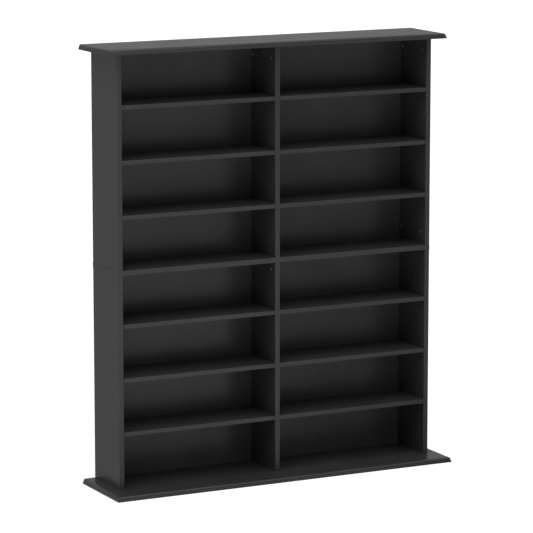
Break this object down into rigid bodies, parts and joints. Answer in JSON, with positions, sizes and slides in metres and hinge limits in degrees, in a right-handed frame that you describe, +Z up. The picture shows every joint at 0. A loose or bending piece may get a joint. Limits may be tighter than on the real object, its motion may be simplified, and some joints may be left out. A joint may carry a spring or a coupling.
{
  "type": "media shelf",
  "caption": "Tall double-width media shelf in black laminate: two stacked open cases with loose shelves between a wide moulded base and a moulded cap.",
  "frame": {"origin": "middle of the footprint, on the floor", "axes": "+X to the right seen from the front, +Y to the rear (the open front faces -Y), +Z up"},
  "size_m": [1.338, 0.31, 1.57],
  "materials": {
    "black_laminate": "black laminate on composite board, satin with a fine pore texture",
    "black_shelf": "black laminate on composite board, satin with a fine pore texture",
    "black_back": "black printed paper on thin hardboard, flat satin",
    "pin_steel": "zinc-plated steel",
    "cam_zinc": "cast zinc, bare and dull",
    "bolt_steel": "zinc-plated steel",
    "beech": "bare turned beech",
    "screw_steel": "zinc-plated steel"
  },
  "bodies": {
    "carcass": {"base_board": "black_laminate", "top_board": "black_laminate", "middle_panel": "black_laminate", "lower_left_side": "black_laminate", "lower_right_side": "black_laminate", "lower_divider": "black_laminate", "upper_left_side": "black_laminate", "upper_right_side": "black_laminate", "upper_divider": "black_laminate", "lower_left_back": "black_back", "lower_right_back": "black_back", "upper_left_back": "black_back", "upper_right_back": "black_back", "lower_left_shelf_pins": "pin_steel", "lower_right_shelf_pins": "pin_steel", "upper_left_shelf_pins": "pin_steel", "upper_right_shelf_pins": "pin_steel", "side_cam_locks": "cam_zinc", "upper_divider_cam_locks": "cam_zinc", "lower_divider_cam_lock": "cam_zinc", "side_cam_bolts": "bolt_steel", "upper_divider_cam_bolts": "bolt_steel", "lower_divider_cam_bolt": "bolt_steel", "base_dowels": "beech", "middle_dowels": "beech", "cap_dowels": "beech", "base_screws": "screw_steel", "middle_side_screws": "screw_steel", "middle_divider_screw": "screw_steel"},
    "lower_left_shelf_1": {"lower_left_shelf_1": "black_shelf"},
    "lower_left_shelf_2": {"lower_left_shelf_2": "black_shelf"},
    "lower_left_shelf_3": {"lower_left_shelf_3": "black_shelf"},
    "lower_right_shelf_1": {"lower_right_shelf_1": "black_shelf"},
    "lower_right_shelf_2": {"lower_right_shelf_2": "black_shelf"},
    "lower_right_shelf_3": {"lower_right_shelf_3": "black_shelf"},
    "upper_left_shelf_1": {"upper_left_shelf_1": "black_shelf"},
    "upper_left_shelf_2": {"upper_left_shelf_2": "black_shelf"},
    "upper_left_shelf_3": {"upper_left_shelf_3": "black_shelf"},
    "upper_right_shelf_1": {"upper_right_shelf_1": "black_shelf"},
    "upper_right_shelf_2": {"upper_right_shelf_2": "black_shelf"},
    "upper_right_shelf_3": {"upper_right_shelf_3": "black_shelf"}
  },
  "joints": [
    {"name": "lower_left_shelf_1_slide", "type": "slide", "parent": "carcass", "child": "lower_left_shelf_1", "axis": [0, -1, 0], "range_m": [0, 0.2]},
    {"name": "lower_left_shelf_2_slide", "type": "slide", "parent": "carcass", "child": "lower_left_shelf_2", "axis": [0, -1, 0], "range_m": [0, 0.2]},
    {"name": "lower_left_shelf_3_slide", "type": "slide", "parent": "carcass", "child": "lower_left_shelf_3", "axis": [0, -1, 0], "range_m": [0, 0.2]},
    {"name": "lower_right_shelf_1_slide", "type": "slide", "parent": "carcass", "child": "lower_right_shelf_1", "axis": [0, -1, 0], "range_m": [0, 0.2]},
    {"name": "lower_right_shelf_2_slide", "type": "slide", "parent": "carcass", "child": "lower_right_shelf_2", "axis": [0, -1, 0], "range_m": [0, 0.2]},
    {"name": "lower_right_shelf_3_slide", "type": "slide", "parent": "carcass", "child": "lower_right_shelf_3", "axis": [0, -1, 0], "range_m": [0, 0.2]},
    {"name": "upper_left_shelf_1_slide", "type": "slide", "parent": "carcass", "child": "upper_left_shelf_1", "axis": [0, -1, 0], "range_m": [0, 0.2]},
    {"name": "upper_left_shelf_2_slide", "type": "slide", "parent": "carcass", "child": "upper_left_shelf_2", "axis": [0, -1, 0], "range_m": [0, 0.2]},
    {"name": "upper_left_shelf_3_slide", "type": "slide", "parent": "carcass", "child": "upper_left_shelf_3", "axis": [0, -1, 0], "range_m": [0, 0.2]},
    {"name": "upper_right_shelf_1_slide", "type": "slide", "parent": "carcass", "child": "upper_right_shelf_1", "axis": [0, -1, 0], "range_m": [0, 0.2]},
    {"name": "upper_right_shelf_2_slide", "type": "slide", "parent": "carcass", "child": "upper_right_shelf_2", "axis": [0, -1, 0], "range_m": [0, 0.2]},
    {"name": "upper_right_shelf_3_slide", "type": "slide", "parent": "carcass", "child": "upper_right_shelf_3", "axis": [0, -1, 0], "range_m": [0, 0.2]}
  ]
}
